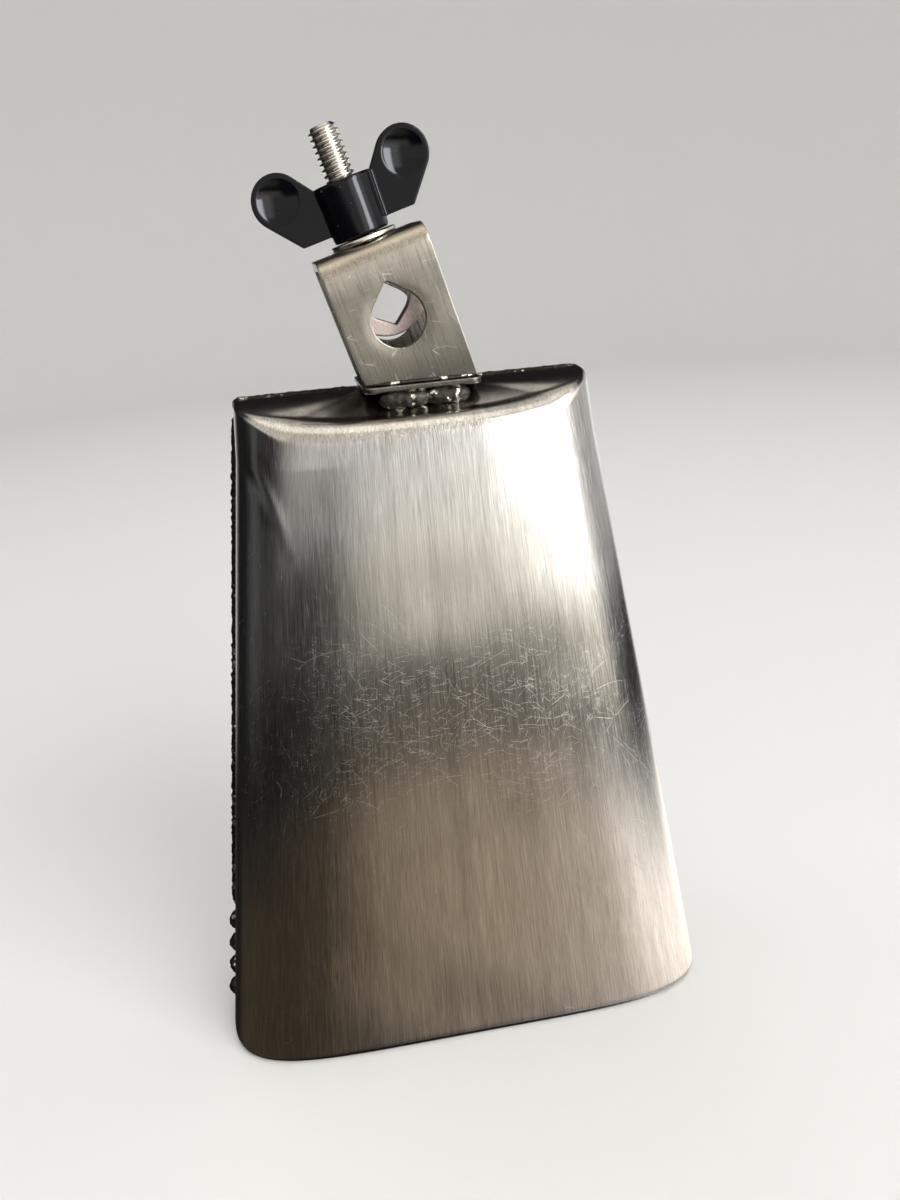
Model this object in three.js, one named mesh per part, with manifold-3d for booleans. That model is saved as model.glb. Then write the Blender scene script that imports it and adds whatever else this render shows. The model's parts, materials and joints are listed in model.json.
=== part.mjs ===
// A rod-mounted cowbell: two pressed steel half shells welded along both sides and over the closed top,
// open at the mouth. A tilted strap bracket on top holds an eye bolt, and a wing nut draws the eye up to
// clamp a rod.
// Millimetres, +Z up. The origin is the centre of the mouth, and the struck face looks along -Y.
import * as THREE from "three";
import { mergeVertices } from "three/addons/utils/BufferGeometryUtils.js";
import Module from "manifold-3d";

const wasm = await Module();
wasm.setup();

// ---- driving dimensions -----------------------------------------------------------------------------
// Every section of the bell is |x/a|^p + |y/b|^q = 1. A higher p keeps the wide faces flat further out,
// and a higher q makes the narrow sides at the seams flatter.
const BELL_HEIGHT = 203.2; // mouth to the ridge of the closed top, without its weld
const MOUTH = { a: 79.4, b: 31.4, p: 5.3, q: 3.6 };
const TOP = { a: 46.9, b: 25.6, p: 2.9, q: 3.1 };
const SHEET = 1.4; // steel sheet of both half shells
const TOP_FILLET = 6; // rounded edge between the walls and the closed top
const TOP_FALL = 5.3; // the closed top falls this far from its ridge to its front and rear edges
const LIP = { height: 3, inset: 1.2 }; // the mouth edge turns inwards
const SEAM_GAP = 0.3; // between the two half shells

const WELD_CLEARANCE = 0.15; // every weld stays this far from the steel it joins
const WELD_SIDES = 8;
const SIDE_WELD = { radius: 2.1, sunk: 0.7, low: 5, runs: 18 };
const TOP_WELD = { radius: 1.9, sunk: 0.8, runs: 4 };
// overlap is how far the bead reaches into the plate and the top before it is trimmed.
const BASE_WELD = { overlap: 0.35, endGap: 3, runs: 3 };

const BRACKET_TILT = THREE.MathUtils.degToRad(16); // sideways lean, towards -X
const BRACKET_TURN = THREE.MathUtils.degToRad(2); // seen from above, anticlockwise
const BRACKET_AT = { x: 1.3, y: -3.2 }; // where the bolt's axis meets the bell's top
const STRAP = { width: 28.5, thickness: 2.5, depth: 24, height: 35.8, bend: 5 };
const ROD_HOLE = { radius: 7, height: 16.4, peakHalfAngle: THREE.MathUtils.degToRad(47) };
const BOLT_HOLE_RADIUS = 4.6;
const PLATE = { width: 31, depth: 28, thickness: 1.6, corner: 2.5 };
const SEAT = 0.1; // the base plate's clearance to the bell's top
const GAP = 0.3; // clearance between neighbours in the tilted bracket

const THREAD = { crest: 3.9, root: 3.05, pitch: 1.4111 }; // 5/16 inch, 18 threads to the inch
const THREAD_SEGMENTS = 16;
const NUT_THREAD_PLAY = 0.25; // radial play of the nut's thread on the bolt's

const EYE = { radius: 11, halfWidth: 10.6, bottom: 11.8, top: 30.8, thickness: 5 };
const EYE_OPENING = { radius: 6.2, height: 22, notchHalfAngle: THREE.MathUtils.degToRad(53) };
const WASHER = { outer: 8.6, inner: 4.3, thickness: 1.1 };
const HUB = { height: 13.8, lowRadius: 7.4, highRadius: 7.7, edge: 0.5 };
const WING = { reach: 16.6, rise: 14.2, radius: 6.7, thickness: 4, dish: 5.7, dishDepth: 1.1 };
const WING_HEEL = { x: 15.1, z: 2.2 };
const STUD_ABOVE_NUT = 12.8;

// ---- finishes ---------------------------------------------------------------------------------------
const brushedSteel = new THREE.MeshStandardMaterial({ color: 0xa39d93, roughness: 0.32, metalness: 1 });
const weldSteel = new THREE.MeshStandardMaterial({ color: 0x5e5a50, roughness: 0.5, metalness: 1 });
const bracketSteel = new THREE.MeshStandardMaterial({ color: 0xa29a8a, roughness: 0.3, metalness: 1 });
const boltSteel = new THREE.MeshStandardMaterial({ color: 0xb5aea2, roughness: 0.25, metalness: 1 });
const blackPaint = new THREE.MeshStandardMaterial({ color: 0x0c0d10, roughness: 0.3, metalness: 0 });

// ---- solids -----------------------------------------------------------------------------------------
function solidOf(geometry) {
  const bare = geometry.clone();
  bare.deleteAttribute("normal");
  bare.deleteAttribute("uv");
  const merged = mergeVertices(bare, 1e-4);
  const mesh = new wasm.Mesh({
    numProp: 3,
    vertProperties: merged.attributes.position.array,
    triVerts: new Uint32Array(merged.index.array),
  });
  return new wasm.Manifold(mesh);
}

function geometryOf(solid) {
  const { vertProperties, triVerts } = solid.getMesh();
  const geometry = new THREE.BufferGeometry();
  geometry.setAttribute("position", new THREE.BufferAttribute(vertProperties, 3));
  geometry.setIndex(new THREE.BufferAttribute(triVerts, 1));
  geometry.computeVertexNormals();
  return geometry;
}

// A closed solid through rings of Vector3 with equal counts, anticlockwise seen from beyond the last ring.
// Both ends close on the middle of their ring.
function loft(rings) {
  const count = rings[0].length;
  const points = rings.flat();
  const middle = (ring) => ring.reduce((sum, p) => sum.add(p), new THREE.Vector3()).divideScalar(count);
  const firstCentre = points.push(middle(rings[0])) - 1;
  const lastCentre = points.push(middle(rings[rings.length - 1])) - 1;
  const faces = [];
  const lastRow = (rings.length - 1) * count;
  for (let i = 0; i < count; i++) {
    const j = (i + 1) % count;
    faces.push(firstCentre, j, i, lastCentre, lastRow + i, lastRow + j);
    for (let row = 0; row < lastRow; row += count) {
      faces.push(row + i, row + j, row + count + j, row + i, row + count + j, row + count + i);
    }
  }
  return new THREE.BufferGeometry().setFromPoints(points).setIndex(faces);
}

function box(width, depth, height, x, y, z) {
  return new THREE.BoxGeometry(width, depth, height).translate(x, y, z);
}

// A cylinder along Z from its low end.
function upright(radius, height, z, segments) {
  const cylinder = new THREE.CylinderGeometry(radius, radius, height, segments).rotateX(Math.PI / 2);
  return cylinder.translate(0, 0, z + height / 2);
}

// Extrudes a shape drawn in the X-Z plane along Y, centred on Y = 0.
function acrossY(shape, depth, curveSegments) {
  const geometry = new THREE.ExtrudeGeometry(shape, { depth, bevelEnabled: false, curveSegments });
  return geometry.rotateX(Math.PI / 2).translate(0, depth / 2, 0);
}

// A round hole drawn out to a point by two tangents: up for direction 1, down for direction -1.
function pointedHole(radius, halfAngle, direction) {
  const shape = new THREE.Shape();
  const point = (direction * Math.PI) / 2;
  const toTangent = Math.PI / 2 - halfAngle;
  shape.absarc(0, 0, radius, point + toTangent, point - toTangent + 2 * Math.PI);
  shape.lineTo(0, (direction * radius) / Math.sin(halfAngle));
  return shape;
}

// ---- bell -------------------------------------------------------------------------------------------
const FACE_STEPS = 28; // chords along the front and along the rear half of a section

// The points of one section. Height is a function of the point's share of the way from the seams to a face.
function sectionRing({ a, b, p, q }, height) {
  const ring = [];
  for (let i = 0; i < 2 * FACE_STEPS; i++) {
    const half = i < FACE_STEPS ? -1 : 1; // the front half from left to right, then the rear half back
    const across = Math.sin(Math.PI * ((i % FACE_STEPS) / FACE_STEPS - 0.5));
    const depth = Math.pow(Math.max(0, 1 - Math.pow(Math.abs(across), p)), 1 / q);
    ring.push(new THREE.Vector3(-half * across * a, half * b * depth, height(depth)));
  }
  return ring;
}

const shrink = (section, by) => ({ ...section, a: section.a - by, b: section.b - by });

function sectionAt(z) {
  const share = z / BELL_HEIGHT;
  const lip = z < LIP.height ? LIP.inset * Math.pow(1 - z / LIP.height, 2) : 0;
  const mix = (key) => THREE.MathUtils.lerp(MOUTH[key], TOP[key], share);
  return shrink({ a: mix("a"), b: mix("b"), p: mix("p"), q: mix("q") }, lip);
}

const shoulder = sectionAt(BELL_HEIGHT - TOP_FILLET);

// The bell's outside as one solid block, moved inwards by inset.
function bellForm(inset) {
  const straightTo = BELL_HEIGHT - TOP_FILLET - TOP_FALL - 4;
  const wallSteps = 6;
  const heights = [0, 1, 2];
  for (let i = 0; i <= wallSteps; i++) {
    heights.push(THREE.MathUtils.lerp(LIP.height, straightTo, i / wallSteps));
  }
  const lowest = inset > 0 ? -1 : inset; // the inside block runs past the mouth, to cut it open
  const rings = heights.map((z) => sectionRing(shrink(sectionAt(z), inset), () => (z === 0 ? lowest : z)));
  const fall = (share) => TOP_FALL * share * share;
  const filletSteps = 4;
  for (let i = 0; i <= filletSteps; i++) {
    const angle = (i / filletSteps) * (Math.PI / 2);
    const edge = shrink(shoulder, inset + TOP_FILLET * (1 - Math.cos(angle)));
    const level = BELL_HEIGHT - TOP_FILLET + (TOP_FILLET - inset) * Math.sin(angle);
    rings.push(sectionRing(edge, (depth) => level - fall(depth)));
  }
  const top = shrink(shoulder, inset + TOP_FILLET);
  for (const share of [0.75, 0.5, 0.25]) {
    const smaller = { ...top, a: top.a * share, b: top.b * share };
    rings.push(sectionRing(smaller, (depth) => BELL_HEIGHT - inset - fall(share * depth)));
  }
  return solidOf(loft(rings));
}

const BEYOND = 400; // larger than the whole bell
const shell = bellForm(0).subtract(bellForm(SHEET));
const halfSpace = (side) => solidOf(box(BEYOND, BEYOND, 2 * BEYOND, 0, (side * (BEYOND + SEAM_GAP)) / 2, 0));
const halfShell = (side) => shell.intersect(halfSpace(side));

// ---- welds ------------------------------------------------------------------------------------------
// A straight weld between two points. Its radius swells and shrinks once for each run of the torch.
function weldRod(from, to, runs, radius) {
  const along = to.clone().sub(from);
  const up = new THREE.Vector3(0, 0, 1);
  const turn = new THREE.Quaternion().setFromUnitVectors(up, along.clone().normalize());
  const stepsPerRun = 4;
  const steps = runs * stepsPerRun;
  const rings = [];
  for (let i = 0; i <= steps; i++) {
    const fromEnd = Math.min(i, steps - i);
    const taper = Math.min(1, 0.8 + 0.1 * fromEnd);
    const swell = radius * taper * (0.92 + 0.08 * Math.cos((i * 2 * Math.PI) / stepsPerRun));
    const ring = [];
    for (let k = 0; k < WELD_SIDES; k++) {
      const angle = (k * 2 * Math.PI) / WELD_SIDES;
      const corner = new THREE.Vector3(swell * Math.cos(angle), swell * Math.sin(angle), 0);
      ring.push(corner.applyQuaternion(turn).add(from).addScaledVector(along, i / steps));
    }
    rings.push(ring);
  }
  return solidOf(loft(rings));
}

const roomForBell = bellForm(-WELD_CLEARANCE);

function sideWeld(side) {
  const { radius, sunk, low, runs } = SIDE_WELD;
  const high = BELL_HEIGHT - TOP_FILLET;
  const at = (z) => new THREE.Vector3(side * (sectionAt(z).a - sunk), 0, z);
  return weldRod(at(low), at(high), runs, radius).subtract(roomForBell);
}

function topWeld(side) {
  const { radius, sunk, runs } = TOP_WELD;
  const z = BELL_HEIGHT - sunk;
  const inner = new THREE.Vector3(BRACKET_AT.x + side * (PLATE.width / 2 + radius), 0, z);
  const outer = new THREE.Vector3(side * (TOP.a - TOP_FILLET), 0, z);
  return weldRod(inner, outer, runs, radius).subtract(roomForBell);
}

// ---- bracket base -----------------------------------------------------------------------------------
const plateZ = BELL_HEIGHT + SEAT;
const footZ = plateZ + PLATE.thickness + GAP;

// The base frame stands on the bell's top, and the bracket frame leans in it with its Z along the bolt.
const baseFrame = new THREE.Group();
baseFrame.position.set(BRACKET_AT.x, BRACKET_AT.y, 0);
baseFrame.rotation.z = BRACKET_TURN;
const bracketFrame = new THREE.Group();
bracketFrame.position.z = footZ;
bracketFrame.rotation.y = -BRACKET_TILT;
baseFrame.add(bracketFrame);
baseFrame.updateMatrixWorld(true);

function basePlate() {
  const { width, depth, thickness, corner } = PLATE;
  const x = width / 2 - corner;
  const y = depth / 2 - corner;
  const outline = new THREE.Shape();
  outline.absarc(x, y, corner, 0, Math.PI / 2);
  outline.absarc(-x, y, corner, Math.PI / 2, Math.PI);
  outline.absarc(-x, -y, corner, Math.PI, 1.5 * Math.PI);
  outline.absarc(x, -y, corner, 1.5 * Math.PI, 2 * Math.PI);
  const settings = { depth: thickness, bevelEnabled: false, curveSegments: 5 };
  const plate = new THREE.ExtrudeGeometry(outline, settings);
  return plate.translate(0, 0, plateZ);
}

// Fills the wedge between one long edge of the base plate and the falling top.
function baseWeld(side) {
  const { overlap, endGap, runs } = BASE_WELD;
  const reach = PLATE.width / 2 - endGap;
  const y = (side * PLATE.depth) / 2;
  const share = (BRACKET_AT.y + y) / (shoulder.b - TOP_FILLET);
  const wedge = plateZ - (BELL_HEIGHT - TOP_FALL * share * share);
  const at = (x) => baseFrame.localToWorld(new THREE.Vector3(x, y, plateZ - wedge / 2));
  const clear = 2 * WELD_CLEARANCE;
  const roomHeight = 20;
  const low = plateZ - WELD_CLEARANCE;
  const roomForPlate = box(PLATE.width + clear, PLATE.depth + clear, roomHeight, 0, 0, low + roomHeight / 2);
  roomForPlate.applyMatrix4(baseFrame.matrixWorld);
  return weldRod(at(-reach), at(reach), runs, wedge / 2 + overlap)
    .subtract(roomForBell)
    .subtract(solidOf(roomForPlate));
}

// ---- strap ------------------------------------------------------------------------------------------
function strapProfile() {
  const { thickness, depth, height, bend } = STRAP;
  const half = depth / 2;
  const low = -6; // the legs are drawn long, and trimmed level with the base plate
  const bendY = half - bend;
  const bendZ = height - bend;
  const profile = new THREE.Shape();
  profile.moveTo(-half, low);
  profile.lineTo(-half + thickness, low);
  profile.absarc(-bendY, bendZ, bend - thickness, Math.PI, Math.PI / 2, true);
  profile.absarc(bendY, bendZ, bend - thickness, Math.PI / 2, 0, true);
  profile.lineTo(half - thickness, low);
  profile.lineTo(half, low);
  profile.absarc(bendY, bendZ, bend, 0, Math.PI / 2);
  profile.absarc(-bendY, bendZ, bend, Math.PI / 2, Math.PI);
  return profile;
}

function strap() {
  const { width, depth, height } = STRAP;
  const bent = acrossY(strapProfile(), width, 8).rotateZ(Math.PI / 2);
  const hole = pointedHole(ROD_HOLE.radius, ROD_HOLE.peakHalfAngle, 1);
  const rodHoles = acrossY(hole, 2 * depth, 24).translate(0, 0, ROD_HOLE.height);
  const boltHole = upright(BOLT_HOLE_RADIUS, 20, height - 10, 28);
  const belowFoot = box(BEYOND, BEYOND, 40, 0, 0, -20).rotateY(BRACKET_TILT);
  return [rodHoles, boltHole, belowFoot].reduce((solid, cut) => solid.subtract(solidOf(cut)), solidOf(bent));
}

// ---- thread -----------------------------------------------------------------------------------------
// A rod along Z with a true right-hand thread that covers low to high. Whole turns start from Z = 0, so
// all such rods have their threads in the same phase.
function threadedRod(grow, low, high) {
  const { crest, root, pitch } = THREAD;
  const profile = [
    { phase: 0, radius: root },
    { phase: 0.25, radius: root },
    { phase: 0.5625, radius: crest },
    { phase: 0.6875, radius: crest },
  ];
  const perTurn = profile.length;
  const firstTurn = Math.floor(low / pitch) - 1;
  const turns = Math.ceil(high / pitch) - firstTurn;
  const points = [];
  for (let row = 0; row <= turns * perTurn; row++) {
    const { phase, radius } = profile[row % perTurn];
    const turn = firstTurn + Math.floor(row / perTurn) + phase;
    for (let i = 0; i < THREAD_SEGMENTS; i++) {
      const share = i / THREAD_SEGMENTS;
      const angle = share * 2 * Math.PI;
      const reach = radius + grow;
      const z = (turn + share) * pitch;
      points.push(new THREE.Vector3(reach * Math.cos(angle), reach * Math.sin(angle), z));
    }
  }
  // One step on from the last column is the first column, one whole turn higher.
  const at = (row, i) =>
    i < THREAD_SEGMENTS ? row * THREAD_SEGMENTS + i : (row + perTurn) * THREAD_SEGMENTS;
  const lastRow = (turns - 1) * perTurn;
  const foot = points.push(new THREE.Vector3(0, 0, firstTurn * pitch)) - 1;
  const head = points.push(new THREE.Vector3(0, 0, (firstTurn + turns) * pitch)) - 1;
  const faces = [];
  for (let i = 0; i < THREAD_SEGMENTS; i++) {
    for (let row = 0; row < lastRow; row++) {
      faces.push(at(row, i), at(row, i + 1), at(row + 1, i + 1));
      faces.push(at(row, i), at(row + 1, i + 1), at(row + 1, i));
    }
    faces.push(foot, at(0, i + 1), at(0, i), head, at(lastRow, i), at(lastRow, i + 1));
  }
  for (let row = 0; row < perTurn; row++) {
    faces.push(foot, at(row, 0), at(row + 1, 0));
    faces.push(head, at(lastRow + row + 1, 0), at(lastRow + row, 0));
  }
  return solidOf(new THREE.BufferGeometry().setFromPoints(points).setIndex(faces));
}

// ---- clamp hardware, all along the bracket frame's Z ------------------------------------------------
const washerZ = STRAP.height + GAP;
const hubZ = washerZ + WASHER.thickness + GAP;
const studTop = hubZ + HUB.height + STUD_ABOVE_NUT;

function eyePlate() {
  const { radius, halfWidth, bottom, top, thickness } = EYE;
  const centre = bottom + radius;
  const neck = THREAD.crest;
  const corner = Math.acos(halfWidth / radius);
  const outline = new THREE.Shape();
  outline.absarc(0, centre, radius, Math.PI + corner, 2 * Math.PI - corner);
  outline.lineTo(halfWidth, centre);
  outline.quadraticCurveTo(halfWidth, top, neck, top);
  outline.lineTo(-neck, top);
  outline.quadraticCurveTo(-halfWidth, top, -halfWidth, centre);
  const opening = pointedHole(EYE_OPENING.radius, EYE_OPENING.notchHalfAngle, -1);
  const cut = acrossY(opening, 2 * thickness, 20).translate(0, 0, EYE_OPENING.height);
  return solidOf(acrossY(outline, thickness, 12)).subtract(solidOf(cut));
}

function eyeBolt() {
  const low = EYE.top - 1;
  const rim = THREAD.crest + 0.1;
  const point = 0.9; // height of the chamfer at the stud's end
  const blank = new THREE.LatheGeometry(
    [
      new THREE.Vector2(0, low),
      new THREE.Vector2(rim, low),
      new THREE.Vector2(rim, studTop - point),
      new THREE.Vector2(THREAD.root, studTop),
      new THREE.Vector2(0, studTop),
    ],
    24,
  ).rotateX(Math.PI / 2);
  return eyePlate().add(threadedRod(0, low, studTop).intersect(solidOf(blank)));
}

function washer() {
  const { outer, inner, thickness } = WASHER;
  const ring = solidOf(upright(outer, thickness, washerZ, 40));
  return ring.subtract(solidOf(upright(inner, 4 * thickness, washerZ - thickness, 28)));
}

// The direction, from a circle's centre, of the point where a line from outside touches the circle.
function tangentAngle(centre, radius, from, side) {
  const away = Math.atan2(from.y - centre.y, from.x - centre.x);
  return away + side * Math.acos(radius / centre.distanceTo(from));
}

function wingOutline() {
  const end = new THREE.Vector2(WING.reach, WING.rise);
  const heel = new THREE.Vector2(WING_HEEL.x, WING_HEEL.z);
  const shoulder = new THREE.Vector2(HUB.highRadius - 0.5, HUB.height - 0.6);
  const inHub = 5;
  const round = 0.7;
  const shape = new THREE.Shape();
  shape.moveTo(inHub, heel.y);
  shape.lineTo(heel.x - round, heel.y);
  shape.quadraticCurveTo(heel.x, heel.y, heel.x + round / 2, heel.y + round);
  const low = tangentAngle(end, WING.radius, heel, 1);
  const high = tangentAngle(end, WING.radius, shoulder, -1);
  shape.absarc(end.x, end.y, WING.radius, low, high < low ? high + 2 * Math.PI : high);
  shape.lineTo(shoulder.x, shoulder.y);
  shape.lineTo(inHub, shoulder.y);
  return shape;
}

function wingNut() {
  const { height, lowRadius, highRadius, edge } = HUB;
  const hub = new THREE.LatheGeometry(
    [
      new THREE.Vector2(0, 0),
      new THREE.Vector2(lowRadius - edge, 0),
      new THREE.Vector2(lowRadius, edge),
      new THREE.Vector2(highRadius, height - edge),
      new THREE.Vector2(highRadius - edge, height),
      new THREE.Vector2(0, height),
    ],
    32,
  ).rotateX(Math.PI / 2);
  let nut = solidOf(hub);
  const ballRadius = (WING.dish ** 2 + WING.dishDepth ** 2) / (2 * WING.dishDepth);
  const ballAway = WING.thickness / 2 - WING.dishDepth + ballRadius;
  for (const halfTurn of [0, Math.PI]) {
    let wing = solidOf(acrossY(wingOutline(), WING.thickness, 14).rotateZ(halfTurn));
    for (const face of [-1, 1]) {
      const ball = new THREE.SphereGeometry(ballRadius, 48, 32).rotateX(Math.PI / 2);
      ball.translate(WING.reach, face * ballAway, WING.rise).rotateZ(halfTurn);
      wing = wing.subtract(solidOf(ball));
    }
    nut = nut.add(wing);
  }
  const past = 2; // the thread cut runs past both ends of the hub
  const thread = threadedRod(NUT_THREAD_PLAY, hubZ - past, hubZ + height + past);
  return nut.translate([0, 0, hubZ]).subtract(thread);
}

// ---- assembly ---------------------------------------------------------------------------------------
function piece(name, geometry, material, parent) {
  const mesh = new THREE.Mesh(geometry, material);
  mesh.name = name;
  parent.add(mesh);
}

const cowbell = new THREE.Group();
cowbell.name = "cowbell";
piece("front_shell", geometryOf(halfShell(-1)), brushedSteel, cowbell);
piece("rear_shell", geometryOf(halfShell(1)), brushedSteel, cowbell);
piece("side_weld_left", geometryOf(sideWeld(-1)), weldSteel, cowbell);
piece("side_weld_right", geometryOf(sideWeld(1)), weldSteel, cowbell);
piece("top_weld_left", geometryOf(topWeld(-1)), weldSteel, cowbell);
piece("top_weld_right", geometryOf(topWeld(1)), weldSteel, cowbell);
piece("base_weld_front", geometryOf(baseWeld(-1)), weldSteel, cowbell);
piece("base_weld_rear", geometryOf(baseWeld(1)), weldSteel, cowbell);
piece("bracket_base_plate", basePlate(), bracketSteel, baseFrame);
piece("bracket_strap", geometryOf(strap()), bracketSteel, bracketFrame);
piece("eye_bolt", geometryOf(eyeBolt()), boltSteel, bracketFrame);
piece("washer", geometryOf(washer()), boltSteel, bracketFrame);
piece("wing_nut", geometryOf(wingNut()), blackPaint, bracketFrame);
cowbell.add(baseFrame);

export default cowbell;
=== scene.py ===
"""A worn, brushed steel cowbell with a rod bracket and a black wing nut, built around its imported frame.

Lengths are in metres in the part's own frame. Sizes are measured from the frame's nodes; the constants below add
only what the frame doesn't hold, such as the shape laws of the bell's sections and the wear on its surfaces.
"""

import json
import math

import bmesh
import bpy
import numpy as np
from mathutils import Matrix, Vector

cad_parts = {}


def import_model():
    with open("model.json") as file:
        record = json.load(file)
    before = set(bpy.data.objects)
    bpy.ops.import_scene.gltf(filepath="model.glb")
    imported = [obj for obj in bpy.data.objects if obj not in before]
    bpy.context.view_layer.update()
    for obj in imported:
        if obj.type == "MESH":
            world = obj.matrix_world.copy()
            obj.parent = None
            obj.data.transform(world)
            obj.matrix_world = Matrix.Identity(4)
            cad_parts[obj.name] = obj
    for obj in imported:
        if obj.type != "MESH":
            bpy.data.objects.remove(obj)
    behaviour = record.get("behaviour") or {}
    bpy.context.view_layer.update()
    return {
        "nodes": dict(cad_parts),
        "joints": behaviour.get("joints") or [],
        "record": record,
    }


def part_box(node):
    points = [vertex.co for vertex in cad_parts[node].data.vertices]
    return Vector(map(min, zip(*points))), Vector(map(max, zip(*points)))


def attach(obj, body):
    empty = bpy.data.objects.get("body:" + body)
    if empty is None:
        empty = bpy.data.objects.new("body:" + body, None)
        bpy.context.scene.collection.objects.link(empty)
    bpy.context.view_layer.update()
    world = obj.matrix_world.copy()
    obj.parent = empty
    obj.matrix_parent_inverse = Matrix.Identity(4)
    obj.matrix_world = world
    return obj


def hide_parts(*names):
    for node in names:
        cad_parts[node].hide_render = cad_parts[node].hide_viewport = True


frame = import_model()

MM = 0.001

# ---- shape laws of the bell: a section is |x/a|^p + |y/b|^q = 1 -------------------------------------------------
MOUTH_POWERS = (5.3, 3.6)
TOP_POWERS = (2.9, 3.1)
SHEET = 1.4 * MM
LIP_HEIGHT = 3 * MM
LIP_INSET = 1.2 * MM
RIM_ROUND = 0.6 * MM
TOP_FILLET = 6 * MM
TOP_FALL = 5.3 * MM
WALL_ENDS = 4 * MM  # the straight wall ends this far below the lowest point of the fillet
SEAM_GAP = 0.3 * MM


# ---- measuring the frame ----------------------------------------------------------------------------------------
def node_points(name):
    return np.array([v.co for v in frame["nodes"][name].data.vertices], float)


BELL_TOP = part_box("front_shell")[1].z
WALL_TOP = BELL_TOP - TOP_FILLET - TOP_FALL - WALL_ENDS


def section_size(level):
    """Half width and half depth of the front shell at one of its vertex rings."""
    points = node_points("front_shell")
    ring = points[abs(points[:, 2] - level) < 0.05 * MM]
    return abs(ring[:, 0]).max(), abs(ring[:, 1]).max()


LOW_SIZE = section_size(LIP_HEIGHT)
HIGH_SIZE = section_size(WALL_TOP)


def joint(name):
    return next(j for j in frame["joints"] if j["name"] == name)


def mount(name):
    return next(m for m in frame["record"]["mounts"] if m["name"] == name)


def bracket_matrix():
    """The bracket's own frame: Z along the bolt, Y to the rear, origin where the bolt's axis meets the strap's foot."""
    z = Vector(joint("wing_nut_turn")["axis"]).normalized()
    y = -Vector(mount("bracket_front_face")["axis"]).normalized()
    x = y.cross(z).normalized()
    on_axis = Vector(joint("wing_nut_turn")["pos_m"])
    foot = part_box("bracket_strap")[0].z
    origin = on_axis - z * ((on_axis.z - foot) / z.z)
    return Matrix((x, y, z)).transposed().to_4x4(), origin


TURN, ORIGIN = bracket_matrix()
BRACKET = Matrix.Translation(ORIGIN) @ TURN
BASE = Matrix.Translation(Vector((ORIGIN.x, ORIGIN.y, 0))) @ Matrix.Rotation(math.atan2(-TURN[0][1], TURN[1][1]), 4, "Z")


def local_box(name, matrix):
    points = np.array([matrix.inverted() @ Vector(p) for p in node_points(name)])
    return Vector(points.min(0)), Vector(points.max(0))


# ---- small tools ------------------------------------------------------------------------------------------------
def ripples(count, longest, shortest, seed):
    """A seeded smooth field over two coordinates, as a sum of waves with amplitude 1 together."""
    random = np.random.default_rng(seed)
    lengths = np.exp(random.uniform(math.log(shortest), math.log(longest), count))
    turns = random.uniform(0, 2 * math.pi, count)
    phases = random.uniform(0, 2 * math.pi, count)

    def field(u, v):
        total = 0
        for length, turn, phase in zip(lengths, turns, phases):
            total = total + np.sin((u * math.cos(turn) + v * math.sin(turn)) * 2 * math.pi / length + phase)
        return total / math.sqrt(count)

    return field


def new_piece(name, vertices, faces, smooth=True):
    mesh = bpy.data.meshes.new(name)
    mesh.from_pydata([tuple(v) for v in vertices], [], faces)
    mesh.validate()
    piece = bpy.data.objects.new(name, mesh)
    bpy.context.scene.collection.objects.link(piece)
    clean = bmesh.new()
    clean.from_mesh(mesh)
    bmesh.ops.remove_doubles(clean, verts=clean.verts, dist=1e-6)
    bmesh.ops.recalc_face_normals(clean, faces=clean.faces)
    clean.to_mesh(mesh)
    clean.free()
    for face in mesh.polygons:
        face.use_smooth = smooth
    return piece


def grid_faces(rows, columns, wrap_rows=False, wrap_columns=False):
    faces = []
    for i in range(rows if wrap_rows else rows - 1):
        for j in range(columns if wrap_columns else columns - 1):
            below, beside = (i + 1) % rows, (j + 1) % columns
            faces.append(
                (i * columns + j, i * columns + beside, below * columns + beside, below * columns + j)
            )
    return faces


def apply_modifiers(piece):
    graph = bpy.context.evaluated_depsgraph_get()
    mesh = bpy.data.meshes.new_from_object(piece.evaluated_get(graph))
    piece.modifiers.clear()
    piece.data = mesh
    for face in mesh.polygons:
        face.use_smooth = True
    return piece


def move_points(piece, rule):
    """Moves every vertex as rule says; rule takes and returns an array of points."""
    mesh = piece.data
    points = np.zeros(len(mesh.vertices) * 3)
    mesh.vertices.foreach_get("co", points)
    mesh.vertices.foreach_set("co", rule(points.reshape(-1, 3)).ravel())
    mesh.update()
    return piece


def place(piece, matrix):
    piece.data.transform(matrix)
    piece.data.update()
    return piece


def prism(name, outline, depth):
    """A closed outline of (x, z) points, drawn out along Y and centred on Y = 0."""
    count = len(outline)
    vertices = [(x, -depth / 2, z) for x, z in outline] + [(x, depth / 2, z) for x, z in outline]
    faces = [tuple(range(count)), tuple(reversed(range(count, 2 * count)))]
    for i in range(count):
        j = (i + 1) % count
        faces.append((i, i + count, j + count, j))
    return new_piece(name, vertices, faces, smooth=False)


def lathe(name, profile, segments=96):
    """A closed profile of (radius, z) points, turned round Z."""
    angles = np.linspace(0, 2 * math.pi, segments, endpoint=False)
    vertices = [(r * math.cos(a), r * math.sin(a), z) for r, z in profile for a in angles]
    faces = grid_faces(len(profile), segments, wrap_rows=True, wrap_columns=True)
    return new_piece(name, vertices, faces)


def upright_cylinder(name, radius, low, high, segments=96):
    angles = np.linspace(0, 2 * math.pi, segments, endpoint=False)
    vertices = [(radius * math.cos(a), radius * math.sin(a), z) for z in (low, high) for a in angles]
    faces = grid_faces(2, segments, wrap_columns=True)
    faces += [tuple(reversed(range(segments))), tuple(range(segments, 2 * segments))]
    return new_piece(name, vertices, faces)


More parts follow.
